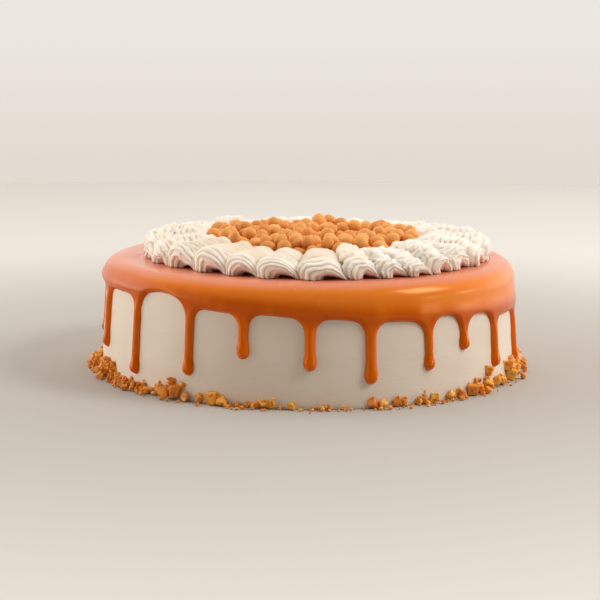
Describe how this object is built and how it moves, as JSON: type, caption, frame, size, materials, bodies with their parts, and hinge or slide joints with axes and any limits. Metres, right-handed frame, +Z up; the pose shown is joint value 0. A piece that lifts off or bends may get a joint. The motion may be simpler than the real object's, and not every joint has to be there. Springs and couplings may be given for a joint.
{
  "type": "drip cake",
  "caption": "Round whipped-cream cake with a caramel drip glaze, a ring of piped cream swirls, a heap of toffee balls in the middle and praline bits round the foot.",
  "frame": {"origin": "middle of the cake's round underside, at the level of the surface it stands on", "axes": "+Z up along the cake's axis, -Y towards the front that the picture shows, +X to the right as seen from the front"},
  "size_m": [0.2597, 0.255, 0.0863],
  "materials": {
    "whipped_cream": "smoothed whipped cream, soft and matt, with golden praline bits at its foot",
    "caramel": "poured caramel glaze, glossy",
    "piped_cream": "piped whipped cream, ridged, soft and matt",
    "toffee": "toffee balls, matt with a fine dusty grain"
  },
  "bodies": {
    "root": {"cake_body": "whipped_cream", "caramel_glaze": "caramel", "cream_swirl_01": "piped_cream", "cream_swirl_02": "piped_cream", "cream_swirl_03": "piped_cream", "cream_swirl_04": "piped_cream", "cream_swirl_05": "piped_cream", "cream_swirl_06": "piped_cream", "cream_swirl_07": "piped_cream", "cream_swirl_08": "piped_cream", "cream_swirl_09": "piped_cream", "cream_swirl_10": "piped_cream", "cream_swirl_11": "piped_cream", "cream_swirl_12": "piped_cream", "cream_swirl_13": "piped_cream", "cream_swirl_14": "piped_cream", "cream_swirl_15": "piped_cream", "cream_swirl_16": "piped_cream", "cream_swirl_17": "piped_cream", "cream_swirl_18": "piped_cream", "cream_swirl_19": "piped_cream", "cream_swirl_20": "piped_cream", "cream_swirl_21": "piped_cream", "cream_swirl_22": "piped_cream", "cream_swirl_23": "piped_cream", "cream_swirl_24": "piped_cream", "cream_swirl_25": "piped_cream", "cream_swirl_26": "piped_cream", "cream_swirl_27": "piped_cream", "cream_swirl_28": "piped_cream", "cream_swirl_29": "piped_cream", "cream_swirl_30": "piped_cream", "toffee_heap": "toffee"}
  },
  "joints": []
}
